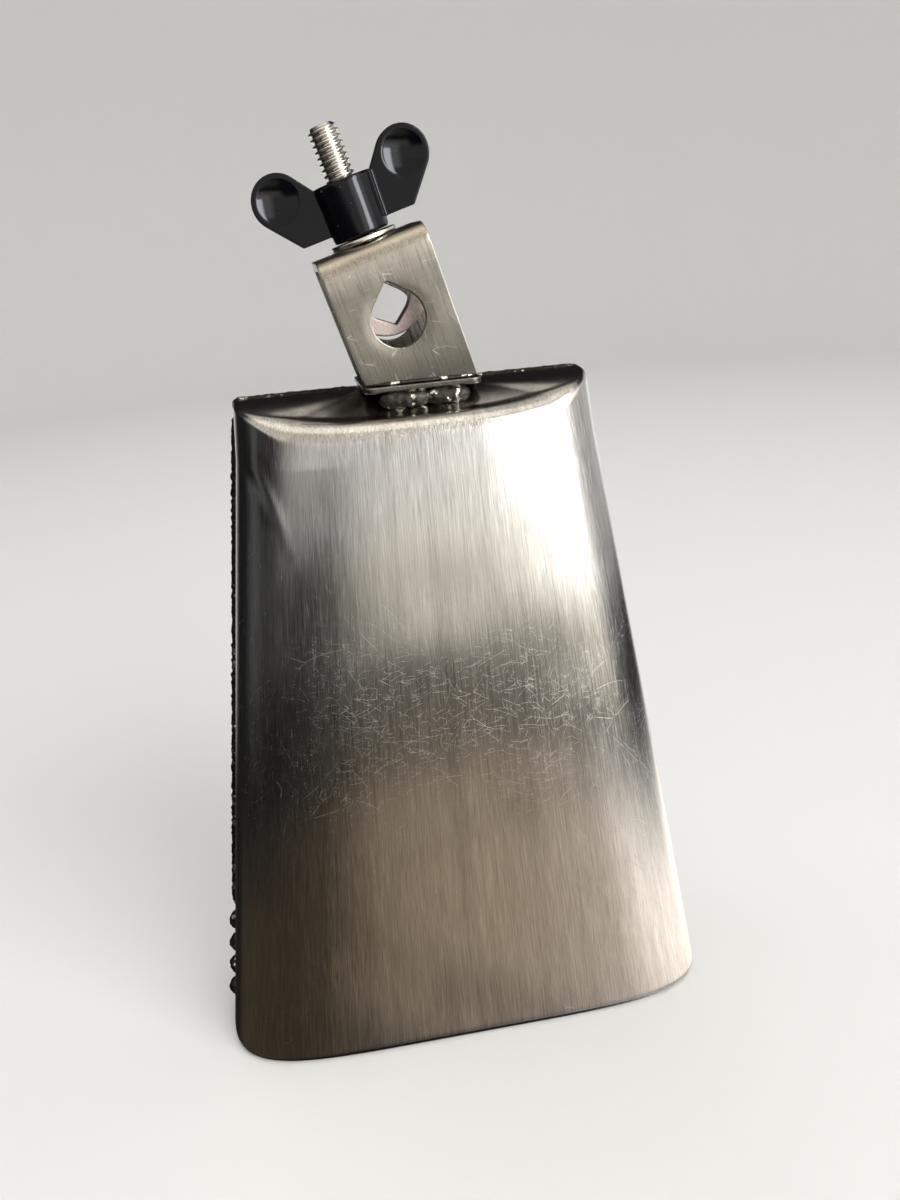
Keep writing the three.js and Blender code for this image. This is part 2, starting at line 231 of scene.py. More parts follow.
def cut(piece, cutters):
    for cutter in cutters:
        boolean = piece.modifiers.new("cut", "BOOLEAN")
        boolean.operation = "DIFFERENCE"
        boolean.solver = "EXACT"
        boolean.object = cutter
        apply_modifiers(piece)
        bpy.data.objects.remove(cutter)
    return piece


def join(piece, others):
    """One object of several closed bodies."""
    merged = bmesh.new()
    for part in [piece] + others:
        merged.from_mesh(part.data)
    merged.to_mesh(piece.data)
    merged.free()
    for part in others:
        bpy.data.objects.remove(part)
    for face in piece.data.polygons:
        face.use_smooth = True
    return piece


def soften(piece, voxel, rounds):
    """Remeshes a piece finely and smooths it, which joins its bodies and rounds its edges as tumbling does."""
    remesh = piece.modifiers.new("remesh", "REMESH")
    remesh.mode = "VOXEL"
    remesh.voxel_size = voxel
    smooth = piece.modifiers.new("smooth", "SMOOTH")
    smooth.factor = 0.5
    smooth.iterations = rounds
    return apply_modifiers(piece)


def arc(centre, radius, start, end, count):
    angles = np.linspace(start, end, count)
    return [(centre[0] + radius * math.cos(a), centre[1] + radius * math.sin(a)) for a in angles]


def pointed_circle(height, radius, half_angle, direction):
    """A circle drawn out to a point by two tangents: up for direction 1, down for direction -1."""
    point = direction * math.pi / 2
    reach = math.pi / 2 - half_angle
    outline = arc((0, height), radius, point + reach, point - reach + 2 * math.pi, 64)
    return outline + [(0, height + direction * radius / math.sin(half_angle))]


def finish_piece(piece, body, nodes, material):
    piece.data.materials.clear()
    piece.data.materials.append(material)
    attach(piece, body)
    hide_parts(*nodes)
    return piece


# ---- bell shells ------------------------------------------------------------------------------------------------
def law(z):
    """Half width, half depth and the two powers of the bell's section at a height."""
    along = (z - LIP_HEIGHT) / (WALL_TOP - LIP_HEIGHT)
    share = z / BELL_TOP
    a = LOW_SIZE[0] + (HIGH_SIZE[0] - LOW_SIZE[0]) * along
    b = LOW_SIZE[1] + (HIGH_SIZE[1] - LOW_SIZE[1]) * along
    p = MOUTH_POWERS[0] + (TOP_POWERS[0] - MOUTH_POWERS[0]) * share
    q = MOUTH_POWERS[1] + (TOP_POWERS[1] - MOUTH_POWERS[1]) * share
    return a, b, p, q


def evenly_along_section(a, b, p, q, count):
    """Values of x/a from -1 to 1 that cut half a section into equal lengths."""
    across = np.sin(np.linspace(-math.pi / 2, math.pi / 2, 2000))
    depth = np.clip(1 - abs(across) ** p, 0, 1) ** (1 / q)
    steps = np.hypot(np.diff(a * across), np.diff(b * depth))
    length = np.concatenate([[0], np.cumsum(steps)])
    return np.interp(np.linspace(0, length[-1], count), length, across)


ACROSS = 220
WALL_ROWS = 170
SHELL_WAVES = ripples(9, 0.09, 0.03, 11)
SHELL_WAVE_HEIGHT = 0.06 * MM
PINCH = {"from": 0.72, "share": 0.8}
CREASE = {"start": 0.97, "drift": 0.2, "length": 34 * MM, "width": 1.5 * MM, "height": 0.3 * MM}


def shell_row(size, level, share=1.0, fall=0.0, across=None, inwards=0.0):
    """One row of half a shell, from the left seam to the right one, on its positive side of Y."""
    a, b, p, q = size
    if across is None:
        across = evenly_along_section(a, b, p, q, ACROSS)
    depth = np.clip(1 - abs(across) ** p, 0, 1) ** (1 / q)
    y = np.maximum((b - inwards) * share * depth, SEAM_GAP / 2)
    z = level - fall * (share * depth) ** 2
    return np.stack([(a - inwards) * share * across, y, z], 1)


def shrunk(size, by):
    return (size[0] - by, size[1] - by, size[2], size[3])


def fillet_radius(across):
    """The top edge is well rounded in the middle and pinched to a sharp corner at each seam."""
    near_seam = np.clip((abs(across) - PINCH["from"]) / (1 - PINCH["from"]), 0, 1)
    return TOP_FILLET * (1 - PINCH["share"] * near_seam**2 * (3 - 2 * near_seam))


def shell_surface(inset):
    """Rows of the outside for inset 0, or the inside for inset SHEET, from the middle of the top to the mouth."""
    rows = []
    edge = law(BELL_TOP - TOP_FILLET)
    across = evenly_along_section(*edge, ACROSS)
    radius = fillet_radius(across)
    for share in np.linspace(0.01, 1, 24)[:-1]:
        rows.append(shell_row(edge, BELL_TOP - inset, share, TOP_FALL, across, inset + radius))
    for angle in np.linspace(math.pi / 2, 0, 18):
        inwards = inset + radius * (1 - math.cos(angle))
        level = BELL_TOP - radius + (radius - inset) * math.sin(angle)
        rows.append(shell_row(edge, level, 1, TOP_FALL, across, inwards))
    for z in np.linspace(WALL_TOP, LIP_HEIGHT, WALL_ROWS):
        rows.append(shell_row(shrunk(law(z), inset), z))
    for z in np.linspace(LIP_HEIGHT, RIM_ROUND, 10)[1:]:
        lip = LIP_INSET * (1 - z / LIP_HEIGHT) ** 2
        rows.append(shell_row(shrunk(law(z), inset + lip), z))
    return rows


def corner_crease(points):
    """The rolled crease that forming left below one top corner. It fades out on its way down the face."""
    down = (BELL_TOP - TOP_FILLET - points[:, 2]) / CREASE["length"]
    middle = -HIGH_SIZE[0] * (CREASE["start"] - CREASE["drift"] * np.sin(np.clip(down, 0, 1) * math.pi / 2))
    ridge = np.exp(-(((points[:, 0] - middle) / CREASE["width"]) ** 2))
    hollow = np.exp(-(((points[:, 0] - middle + 2 * CREASE["width"]) / CREASE["width"]) ** 2))
    fade = np.clip(1 - down, 0, 1) * np.clip(down * 8 + 0.4, 0, 1)
    return CREASE["height"] * (ridge - 0.8 * hollow) * fade


def shell(name, side):
    """Half of the bell as one closed sheet with a rounded rim."""
    outside = shell_surface(0)
    inside = shell_surface(SHEET)
    rim = []
    for angle in np.linspace(0, math.pi, 9)[1:-1]:
        share = (1 - math.cos(angle)) / 2
        row = outside[-1] * (1 - share) + inside[-1] * share
        row[:, 2] -= RIM_ROUND * math.sin(angle)
        rim.append(row)
    rows = outside + rim + inside[::-1]
    points = np.concatenate(rows)
    wave = SHELL_WAVES(points[:, 0], points[:, 2] + side * 0.5) * SHELL_WAVE_HEIGHT
    free_of_seam = np.clip(points[:, 1] / (8 * MM), 0, 1)
    crease = corner_crease(points) * (side < 0) * free_of_seam
    points[:, 0] -= crease
    points[:, 1] += wave * free_of_seam + crease
    points[:, 1] *= side
    faces = grid_faces(len(rows), ACROSS, wrap_rows=True)
    last = len(rows) - 1
    for column in (0, ACROSS - 1):
        for i in range(len(outside) - 1):
            ring = [i, i + 1, last - i - 1, last - i]
            faces.append(tuple(r * ACROSS + column for r in ring))
        rim_rows = range(len(outside) - 1, last - len(outside) + 2)
        faces.append(tuple(r * ACROSS + column for r in rim_rows))
    return new_piece(name, points, faces)


# ---- welds ------------------------------------------------------------------------------------------------------
WELD_ROUND = 20
WELD_STEP = 0.35 * MM


def weld(name, path, radii, seed, ripple_length=1.5 * MM, up=(0, -1, 0)):
    """A weld bead along a path, with the crescent ripples and the unevenness that a torch leaves."""
    path = np.array(path, float)
    steps = np.linalg.norm(np.diff(path, axis=0), axis=1)
    length = np.concatenate([[0], np.cumsum(steps)])
    count = max(8, int(length[-1] / WELD_STEP))
    along = np.linspace(0, length[-1], count)
    centre = np.stack([np.interp(along, length, path[:, k]) for k in range(3)], 1)
    radius = np.interp(along, length, radii)
    direction = np.gradient(centre, axis=0)
    direction /= np.linalg.norm(direction, axis=1)[:, None]
    side = np.cross(direction, np.array(up, float))
    side /= np.linalg.norm(side, axis=1)[:, None]
    other = np.cross(side, direction)
    lumps = ripples(14, 7 * MM, 1.6 * MM, seed)
    angles = np.linspace(0, 2 * math.pi, WELD_ROUND, endpoint=False)
    vertices = []
    for i in range(count):
        for angle in angles:
            crescent = math.cos(2 * math.pi * (along[i] / ripple_length + 0.25 * math.cos(2 * angle)))
            lump = lumps(along[i], angle * 2 * MM)
            reach = radius[i] * (1 + 0.035 * crescent + 0.09 * lump)
            vertices.append(centre[i] + reach * (math.cos(angle) * side[i] + math.sin(angle) * other[i]))
    faces = grid_faces(count, WELD_ROUND, wrap_columns=True)
    faces.append(tuple(reversed(range(WELD_ROUND))))
    faces.append(tuple(range((count - 1) * WELD_ROUND, count * WELD_ROUND)))
    return new_piece(name, vertices, faces)


def rounded_ends(count, body, ends=0.15):
    """Radii that rise from almost nothing at both ends of a bead."""
    share = np.linspace(0, 1, count)
    near = np.minimum(share, 1 - share) / ends
    return body * np.sqrt(np.clip(near, 0.02, 1))


SIDE_WELD_SUNK = 0.3 * MM
SIDE_WELD_RADIUS = 1.7 * MM
TACKS = 4
TACK_PITCH = 9 * MM
TACK_LENGTH = 7.4 * MM
TACK_RADIUS = 2.3 * MM


def side_weld_point(side, z):
    return (side * (law(z)[0] - SIDE_WELD_SUNK), 0, z)


def side_weld(name, side):
    """The left seam is tacked near the mouth and run above that. The right seam is one run."""
    low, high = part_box(name)[0].z, BELL_TOP - TOP_FILLET / 2
    tacked = low + TACKS * TACK_PITCH if side < 0 else low
    heights = np.linspace(tacked, high, 60)
    run = weld(name, [side_weld_point(side, z) for z in heights], rounded_ends(60, SIDE_WELD_RADIUS, 0.02), 31 + side)
    bodies = []
    if side < 0:
        inner = [side_weld_point(side * 0.997, z) for z in np.linspace(low, tacked, 20)]
        bodies.append(weld("seam", inner, rounded_ends(20, 0.8 * MM), 41))
        for i in range(TACKS):
            start = low + i * TACK_PITCH
            path = [side_weld_point(side, z) for z in np.linspace(start, start + TACK_LENGTH, 12)]
            bodies.append(weld("tack", path, rounded_ends(12, TACK_RADIUS, 0.35), 50 + i))
    return join(run, bodies)


TOP_WELD_SUNK = 1.05 * MM
TOP_WELD_RADIUS = 1.5 * MM


def top_weld(name, side):
    """Along the ridge of the closed top and over its rounded end."""
    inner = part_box("bracket_base_plate")[1].x if side > 0 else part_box("bracket_base_plate")[0].x
    corner = float(fillet_radius(np.array(1.0)))
    flat_end = law(BELL_TOP - TOP_FILLET)[0] - corner
    ridge = BELL_TOP - TOP_WELD_SUNK
    path = [(x, 0, ridge) for x in np.linspace(inner, side * flat_end, 30)]
    for angle in np.linspace(math.pi / 2, 0, 10)[1:]:
        drop = (corner + TOP_WELD_SUNK) * (1 - math.sin(angle))
        path.append((side * (flat_end + (corner - TOP_WELD_SUNK) * math.cos(angle)), 0, ridge - drop))
    return weld(name, path, rounded_ends(len(path), TOP_WELD_RADIUS, 0.05), 61 + side, ripple_length=2.1 * MM)


def base_weld(name, side):
    """Two long lens-shaped beads under one edge of the base plate, and a thin bead along the foot of the strap."""
    low, high = local_box(name, BASE)
    plate_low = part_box("bracket_base_plate")[0].z
    strap = local_box("bracket_strap", BASE)
    middle_y = side * local_box("bracket_base_plate", BASE)[1].y
    tall = (plate_low - low.z) / 2
    bodies = []
    reach = high.x - low.x
    for i, (start, end) in enumerate([(0.02, 0.56), (0.5, 0.98)]):
        xs = np.linspace(low.x + reach * start, low.x + reach * end, 24)
        lens = np.sqrt(np.clip(1 - np.linspace(-1, 1, 24) ** 4, 0.01, 1)) * tall * 1.02
        path = [(x, middle_y - side * 0.2 * MM, plate_low - tall * 0.92) for x in xs]
        bodies.append(weld(name, path, lens, 71 + i + side, ripple_length=2.6 * MM, up=(0, 0, 1)))
    foot = side * (strap[1].y + 0.1 * MM)
    xs = np.linspace(strap[0].x + 11.5 * MM, strap[1].x - 1 * MM, 24)
    path = [(x, foot, ORIGIN.z + 0.1 * MM) for x in xs]
    bodies.append(weld("foot", path, rounded_ends(24, 0.55 * MM, 0.1), 81 + side, ripple_length=1.1 * MM))
    piece = join(bodies[0], bodies[1:])
    return place(piece, BASE)


# ---- bracket ----------------------------------------------------------------------------------------------------
STRAP_THICKNESS = 2.5 * MM
STRAP_BEND = 5 * MM
ROD_HOLE = {"height": 16.4 * MM, "radius": 7 * MM, "half_angle": math.radians(47)}
BOLT_HOLE = 4.6 * MM
HOLE_DIMPLE = 0.25 * MM


def strap_profile(depth, height):
    half = depth / 2
    low = -6 * MM
    inner = STRAP_BEND - STRAP_THICKNESS
    bend_y, bend_z = half - STRAP_BEND, height - STRAP_BEND
    outline = [(-half, low), (-half + STRAP_THICKNESS, low)]
    outline += arc((-bend_y, bend_z), inner, math.pi, math.pi / 2, 16)
    outline += arc((bend_y, bend_z), inner, math.pi / 2, 0, 16)
    outline += [(half - STRAP_THICKNESS, low), (half, low)]
    outline += arc((bend_y, bend_z), STRAP_BEND, 0, math.pi / 2, 24)
    outline += arc((-bend_y, bend_z), STRAP_BEND, math.pi / 2, math.pi, 24)
    return outline


def strap(name):
    low, high = local_box(name, BRACKET)
    width, depth, height = high.x - low.x, high.y - low.y, high.z
    piece = prism(name, strap_profile(depth, height), width)
    place(piece, Matrix.Rotation(math.pi / 2, 4, "Z"))
    hole = prism("hole", pointed_circle(ROD_HOLE["height"], ROD_HOLE["radius"], ROD_HOLE["half_angle"], 1), 2 * depth)
    bolt_hole = upright_cylinder("bolt_hole", BOLT_HOLE, height - 8 * MM, height + 5 * MM)
    tilt = math.acos(TURN[2][2])
    below = prism("below", [(-0.1, -0.06), (0.1, -0.06), (0.1, 0), (-0.1, 0)], 0.2)
    place(below, Matrix.Rotation(tilt, 4, "Y"))
    cut(piece, [hole, bolt_hole, below])
    soften(piece, 0.25 * MM, 6)
    wobble = ripples(8, 26 * MM, 9 * MM, 91)

    def worn(points):
        away = np.hypot(points[:, 0], points[:, 2] - ROD_HOLE["height"]) - ROD_HOLE["radius"]
        face = np.clip((abs(points[:, 1]) - depth / 2 + 0.6 * MM) / (0.4 * MM), 0, 1)
        dimple = HOLE_DIMPLE * np.exp(-((away / (1.6 * MM)) ** 2)) * face
        points[:, 1] -= np.sign(points[:, 1]) * dimple
        points[:, 1] += wobble(points[:, 0], points[:, 2]) * 0.035 * MM * face
        return points

    move_points(piece, worn)
    return place(piece, BRACKET)


def base_plate(name):
    low, high = local_box(name, BASE)
    corner = 2.5 * MM
    x, y = high.x - corner, high.y - corner
    outline = arc((x, y), corner, 0, math.pi / 2, 10)
    outline += arc((-x, y), corner, math.pi / 2, math.pi, 10)
    outline += arc((-x, -y), corner, math.pi, 1.5 * math.pi, 10)
    outline += arc((x, -y), corner, 1.5 * math.pi, 2 * math.pi, 10)
    piece = prism(name, outline, high.z - low.z)
    place(piece, Matrix.Translation((0, 0, (low.z + high.z) / 2)) @ Matrix.Rotation(math.pi / 2, 4, "X"))
    soften(piece, 0.2 * MM, 7)
    return place(piece, BASE)


# ---- clamp hardware ---------------------------------------------------------------------------------------------
PITCH = 1.4111 * MM
ROOT_DEPTH = 0.85 * MM
THREAD_TURN = 72
THREAD_ROWS = 14
EYE_OPENING = {"height": 22 * MM, "radius": 6.2 * MM, "half_angle": math.radians(53)}


def thread_depth(phase):
    """Depth below the crest at a share of the pitch: a flat crest, sloped flanks and a rounded root."""
    wave = 0.5 - 0.5 * math.cos(2 * math.pi * phase)
    return ROOT_DEPTH * min(1, max(0, 1.35 * wave - 0.12))


def stud(name, crest, low, high):
    """The bolt's threaded rod with a chamfered end."""
    rows = int((high - low) / PITCH * THREAD_ROWS)
    chamfer = 1.0 * MM
    vertices = []
    for i in range(rows + 1):
        z = low + (high - low) * i / rows
        limit = crest - max(0, chamfer - (high - z)) * 1.1
        for j in range(THREAD_TURN):
            angle = 2 * math.pi * j / THREAD_TURN
            radius = min(crest - thread_depth((z / PITCH - j / THREAD_TURN) % 1), limit)
            vertices.append((radius * math.cos(angle), radius * math.sin(angle), z))
    faces = grid_faces(rows + 1, THREAD_TURN, wrap_columns=True)
    faces.append(tuple(reversed(range(THREAD_TURN))))
    middle = len(vertices)
    vertices.append((0, 0, high - 0.25 * MM))
    for j in range(THREAD_TURN):
        faces.append((rows * THREAD_TURN + j, rows * THREAD_TURN + (j + 1) % THREAD_TURN, middle))
    return new_piece(name, vertices, faces)


def eye_outline(half_width, bottom, top, neck):
    radius = EYE_RADIUS
    centre = bottom + radius
    corner = math.acos(half_width / radius)
    outline = arc((0, centre), radius, math.pi + corner, 2 * math.pi - corner, 40)
    steps = np.linspace(0, 1, 24)
    for t in steps:
        outline.append(((1 - t * t) * half_width + t * t * neck, (1 - t) ** 2 * centre + (2 * t - t * t) * top))
    for t in steps[::-1]:
        outline.append((-((1 - t * t) * half_width + t * t * neck), (1 - t) ** 2 * centre + (2 * t - t * t) * top))
    return outline


EYE_RADIUS = 11 * MM
EYE_HEIGHT = 19 * MM
EYE_THICKNESS = 5 * MM


def eye_bolt(name):
    low, high = local_box(name, BRACKET)
    crest = 3.85 * MM
    top = low.z + EYE_HEIGHT
    piece = prism(name, eye_outline(high.x, low.z, top, crest), EYE_THICKNESS)
    opening = pointed_circle(EYE_OPENING["height"], EYE_OPENING["radius"], EYE_OPENING["half_angle"], -1)
    cut(piece, [prism("opening", opening, 3 * EYE_THICKNESS)])
    soften(piece, 0.25 * MM, 6)
    join(piece, [stud("stud", crest, top - 1.5 * MM, high.z)])
    return place(piece, BRACKET)


def washer(name):
    low, high = local_box(name, BRACKET)
    outer, inner, edge = high.x, 4.3 * MM, 0.3 * MM
    profile = [(inner, low.z), (outer - edge, low.z)]
    profile += arc((outer - edge, low.z + edge), edge, -math.pi / 2, 0, 5)
    profile += arc((outer - edge, high.z - edge), edge, 0, math.pi / 2, 5)
    profile += [(inner, high.z)]
    return place(lathe(name, profile), BRACKET)


HUB = {"low": 7.4 * MM, "high": 7.7 * MM, "bore": 4.3 * MM, "height": 13.8 * MM}
WING = {"x": 16.6 * MM, "z": 14.2 * MM, "radius": 6.7 * MM, "thickness": 4 * MM, "dish": 5.5 * MM, "depth": 1.15 * MM}
WING_HEEL = (15.1 * MM, 2.2 * MM)


def tangent_angle(centre, radius, point, side):
    away = math.atan2(point[1] - centre[1], point[0] - centre[0])
    return away + side * math.acos(radius / math.dist(centre, point))


def wing(name):
    end = (WING["x"], WING["z"])
    shoulder = (HUB["high"] - 0.5 * MM, HUB["height"] - 0.6 * MM)
    low = tangent_angle(end, WING["radius"], WING_HEEL, 1)
    high = tangent_angle(end, WING["radius"], shoulder, -1)
    high += 2 * math.pi if high < low else 0
    in_hub = 5.2 * MM
    outline = [(in_hub, WING_HEEL[1]), WING_HEEL] + arc(end, WING["radius"], low, high, 48)
    outline += [shoulder, (in_hub, shoulder[1])]
    return prism(name, outline, WING["thickness"])


def wing_nut(name):
    low, high = local_box(name, BRACKET)
    foot = low.z
    edge = 0.7 * MM
    height = HUB["height"]
    profile = [(HUB["bore"], 0), (HUB["low"] - edge, 0)]
    profile += arc((HUB["low"] - edge, edge), edge, -math.pi / 2, 0, 6)
    profile += arc((HUB["high"] - edge, height - edge), edge, 0, math.pi / 2, 6)
    profile += [(HUB["bore"] + 0.5 * MM, height), (HUB["bore"], height - 0.5 * MM)]
    hub = lathe(name, profile)
    right = wing("right")
    left = place(wing("left"), Matrix.Rotation(math.pi, 4, "Z"))
    piece = soften(join(hub, [right, left]), 0.22 * MM, 9)

    def dished(points):
        away = np.hypot(abs(points[:, 0]) - WING["x"], points[:, 2] - WING["z"])
        dish = WING["depth"] * np.clip(1 - (away / WING["dish"]) ** 2, 0, 1)
        dish *= np.clip((WING["dish"] - away) / (0.5 * MM), 0, 1) * 0.3 + 0.7
        on_face = abs(points[:, 1]) > WING["thickness"] / 2 - 0.9 * MM
        points[:, 1] -= np.sign(points[:, 1]) * dish * on_face
        return points

    move_points(piece, dished)
    return place(piece, BRACKET @ Matrix.Translation((0, 0, foot)))


# ---- materials --------------------------------------------------------------------------------------------------
class Nodes:
    """A short way to write a material's node tree. Each method returns an output socket."""

    def __init__(self, name):
        self.material = bpy.data.materials.new(name)
        self.material.use_nodes = True
        self.tree = self.material.node_tree
        self.tree.nodes.clear()

    def node(self, kind, **settings):
        made = self.tree.nodes.new(kind)
        for key, value in settings.items():
            setattr(made, key, value)
        return made

    def set(self, socket, value):
        if isinstance(value, bpy.types.NodeSocket):
            self.tree.links.new(value, socket)
        else:
            socket.default_value = value

    def place(self):
        """The point's position in the part's frame."""
        return self.node("ShaderNodeTexCoord").outputs["Object"]

    def split(self, vector):
        made = self.node("ShaderNodeSeparateXYZ")
        self.set(made.inputs[0], vector)
        return made.outputs[0], made.outputs[1], made.outputs[2]

    def vector(self, x, y, z):
        made = self.node("ShaderNodeCombineXYZ")
        for socket, value in zip(made.inputs, (x, y, z)):
            self.set(socket, value)
        return made.outputs[0]

    def math(self, operation, *values, clamp=False):
        made = self.node("ShaderNodeMath", operation=operation, use_clamp=clamp)
        for socket, value in zip(made.inputs, values):
            self.set(socket, value)
        return made.outputs[0]

    def stretch(self, vector, x, y, z):
        made = self.node("ShaderNodeVectorMath", operation="MULTIPLY")
        self.set(made.inputs[0], vector)
        self.set(made.inputs[1], (x, y, z))
        return made.outputs[0]

    def noise(self, vector, scale=1.0, detail=2.0, distortion=0.0, roughness=0.5):
        made = self.node("ShaderNodeTexNoise")
        self.set(made.inputs["Vector"], vector)
        made.inputs["Scale"].default_value = scale
        made.inputs["Detail"].default_value = detail
        made.inputs["Distortion"].default_value = distortion
        made.inputs["Roughness"].default_value = roughness
        return made.outputs["Fac"]

    def cells(self, vector, scale, feature="DISTANCE_TO_EDGE"):
        made = self.node("ShaderNodeTexVoronoi", feature=feature)
        self.set(made.inputs["Vector"], vector)
        made.inputs["Scale"].default_value = scale
        return made.outputs["Distance"]

    def ramp(self, value, low, high, to_low=0.0, to_high=1.0):
        """value from low to high becomes to_low to to_high, and stays there beyond."""
        made = self.node("ShaderNodeMapRange")
        for key, number in zip(("Value", "From Min", "From Max", "To Min", "To Max"), (value, low, high, to_low, to_high)):
            self.set(made.inputs[key], number)
        return made.outputs["Result"]

    def mix(self, share, first, second):
        made = self.node("ShaderNodeMix", data_type="RGBA")
        self.set(made.inputs[0], share)
        self.set(made.inputs[6], first)
        self.set(made.inputs[7], second)
        return made.outputs[2]

    def shade(self, colour, factor):
        """A colour made lighter or darker by a factor."""
        made = self.node("ShaderNodeVectorMath", operation="SCALE")
        self.set(made.inputs[0], colour[:3] if isinstance(colour, tuple) else colour)
        self.set(made.inputs["Scale"], factor)
        return made.outputs[0]

    def bump(self, height, depth, under=None):
        made = self.node("ShaderNodeBump")
        self.set(made.inputs["Height"], height)
        made.inputs["Distance"].default_value = depth
        made.inputs["Strength"].default_value = 1.0
        if under is not None:
            self.set(made.inputs["Normal"], under)
        return made.outputs[0]

    def finish(self, colour, roughness, metallic=1.0, normal=None, anisotropy=0.0, specular=0.5):
        shader = self.node("ShaderNodeBsdfPrincipled")
        self.set(shader.inputs["Base Color"], colour)
        self.set(shader.inputs["Roughness"], roughness)
        self.set(shader.inputs["Metallic"], metallic)
        if normal is not None:
            self.set(shader.inputs["Normal"], normal)
        if anisotropy:
            tangent = self.node("ShaderNodeTangent", direction_type="RADIAL", axis="Z")
            self.set(shader.inputs["Anisotropic"], anisotropy)
            self.set(shader.inputs["Tangent"], tangent.outputs[0])
        self.set(shader.inputs["Specular IOR Level"], specular)
        output = self.node("ShaderNodeOutputMaterial")
        self.tree.links.new(shader.outputs[0], output.inputs["Surface"])
        return self.material


def rgb(red, green, blue):
    return (red, green, blue, 1.0)


def scratches(g, at, scale, turn, drawn, width, kept):
    """Thin, slightly bent lines along one direction: borders of drawn-out cells, faded in and out by a noise."""
    bender = g.node("ShaderNodeTexNoise")
    g.set(bender.inputs["Vector"], at)
    bender.inputs["Scale"].default_value = scale * 0.4
    bender.inputs["Detail"].default_value = 0.0
    bent = g.node("ShaderNodeVectorMath", operation="ADD")
    g.set(bent.inputs[0], at)
    g.set(bent.inputs[1], g.shade(bender.outputs["Color"], 1.1 / scale))
    moved = g.node("ShaderNodeMapping")
    g.set(moved.inputs["Vector"], bent.outputs[0])
    moved.inputs["Location"].default_value = (turn * 0.37, turn * 0.13, turn * 0.61)
    moved.inputs["Rotation"].default_value = (0, math.radians(turn), 0)
    border = g.cells(g.stretch(moved.outputs[0], scale, scale * 0.5, scale / drawn), 1.0)
    line = g.ramp(border, width * scale * 0.3, width * scale, 1.0, 0.0)
    fade = g.ramp(g.noise(moved.outputs[0], scale * 0.8, detail=1.0), kept, kept + 0.1)
    return g.math("MULTIPLY", line, fade)


def crossing_scratches(g, at, scale, turns, drawn, width, kept):
    total = 0.0
    for turn in turns:
        total = g.math("MAXIMUM", total, scratches(g, at, scale * (1 + turn / 400), turn, drawn, width, kept))
    return total


def brushed_steel():
    """The bell's sheet: fine upright brushing, cloudy streaks, and scratches where sticks strike and hands hold."""
    g = Nodes("brushed_steel")
    at = g.place()
    x, y, z = g.split(at)
    width = g.ramp(z, 0.0, BELL_TOP, 1.0, HIGH_SIZE[0] / LOW_SIZE[0])
    flared = g.vector(g.math("DIVIDE", x, width), y, z)
    lines = g.noise(g.stretch(flared, 2600, 2600, 38), detail=3.0, roughness=0.65)
    fine = g.noise(g.stretch(flared, 7000, 7000, 160), detail=2.0, roughness=0.6)
    streaks = g.noise(g.stretch(flared, 190, 190, 9), detail=4.0)
    clouds = g.noise(at, 26, detail=4.0, roughness=0.6)
    band = g.math("MULTIPLY", g.ramp(z, 0.066, 0.09), g.ramp(z, 0.13, 0.165, 1.0, 0.0))
    band = g.math("MULTIPLY", band, g.ramp(x, -0.045, -0.02, 0.3, 1.0))
    worn = g.math("MULTIPLY", band, g.ramp(g.noise(at, 30, detail=2.0), 0.36, 0.6, 0.3, 1.0))
    short = crossing_scratches(g, at, 330, (15, 70, 110, 160), 4, 0.022 * MM, 0.48)
    sparse = crossing_scratches(g, at, 80, (40, 105, 150), 6, 0.03 * MM, 0.56)
    slanted = scratches(g, at, 190, 38, 16, 0.05 * MM, 0.54)
    long_marks = g.math("MULTIPLY", slanted, g.math("MULTIPLY", g.ramp(x, 0.01, 0.04), g.ramp(z, 0.1, 0.12, 1.0, 0.0)))
    marks = g.math("MAXIMUM", g.math("MULTIPLY", short, g.math("MULTIPLY", worn, 0.6)), g.math("MULTIPLY", sparse, g.ramp(band, 0.0, 1.0, 0.2, 0.6)))
    marks = g.math("MAXIMUM", marks, g.math("MULTIPLY", long_marks, 0.5))
    factor = g.math("MULTIPLY", g.ramp(lines, 0.3, 0.7, 0.72, 1.2), g.ramp(streaks, 0.3, 0.7, 0.86, 1.1))
    factor = g.math("MULTIPLY", factor, g.ramp(clouds, 0.3, 0.7, 0.93, 1.07))
    colour = g.shade(g.mix(clouds, rgb(0.53, 0.50, 0.46), rgb(0.51, 0.49, 0.46)), factor)
    colour = g.mix(g.math("MULTIPLY", marks, 0.45), colour, rgb(0.8, 0.78, 0.75))
    metallic = g.ramp(marks, 0.0, 1.0, 1.0, 0.75)
    roughness = g.math("ADD", g.ramp(lines, 0.25, 0.75, 0.17, 0.26), g.math("MULTIPLY", marks, 0.2))
    height = g.math("ADD", g.math("MULTIPLY", lines, 0.7), g.math("MULTIPLY", fine, 0.3))
    normal = g.bump(height, 0.012 * MM)
    normal = g.bump(g.math("MULTIPLY", marks, -1.0), 0.012 * MM, under=normal)
    return g.finish(colour, roughness, metallic=metallic, normal=normal, anisotropy=0.62)


def weld_steel():
    """Dark, scaly weld with bright spots where its crests have been knocked or ground."""
    g = Nodes("weld_steel")
    at = g.place()
    scale = g.noise(at, 900, detail=4.0, roughness=0.7)
    spots = g.ramp(g.noise(at, 420, detail=3.0), 0.59, 0.64)
    dark = g.shade(rgb(0.038, 0.034, 0.028), g.ramp(scale, 0.3, 0.7, 0.5, 1.6))
    colour = g.mix(spots, dark, rgb(0.72, 0.68, 0.6))
    roughness = g.ramp(spots, 0, 1, 0.48, 0.2)
    normal = g.bump(scale, 0.12 * MM)
    return g.finish(colour, roughness, normal=normal)


